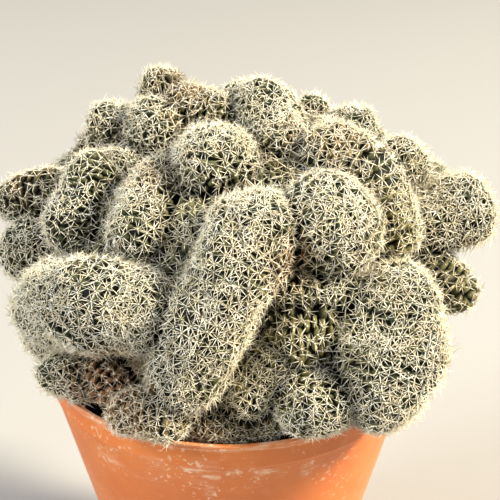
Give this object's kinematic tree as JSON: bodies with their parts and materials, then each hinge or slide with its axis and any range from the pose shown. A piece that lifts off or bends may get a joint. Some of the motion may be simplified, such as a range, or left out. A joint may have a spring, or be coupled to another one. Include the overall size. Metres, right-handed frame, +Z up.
{
  "type": "potted crested lobivia densispina",
  "caption": "Crested cactus in a round nursery pot: a mound of swollen, snaking spiny folds that overhangs the rim of a tapered plastic pot filled with soil.",
  "frame": {"origin": "middle of the pot's underside, on the surface that the pot stands on", "axes": "+Z up along the pot's axis, -Y towards the best side of the plant, +X to that side's right"},
  "size_m": [0.1696, 0.1394, 0.1866],
  "materials": {
    "pot": "satin terracotta-orange moulded plastic, lightly scuffed",
    "soil": "dark damp potting mix",
    "cactus_crest": "grey-green skin under a dense coat of cream spines"
  },
  "bodies": {
    "root": {"pot": "pot", "soil": "soil", "cactus_crest": "cactus_crest"}
  },
  "joints": []
}
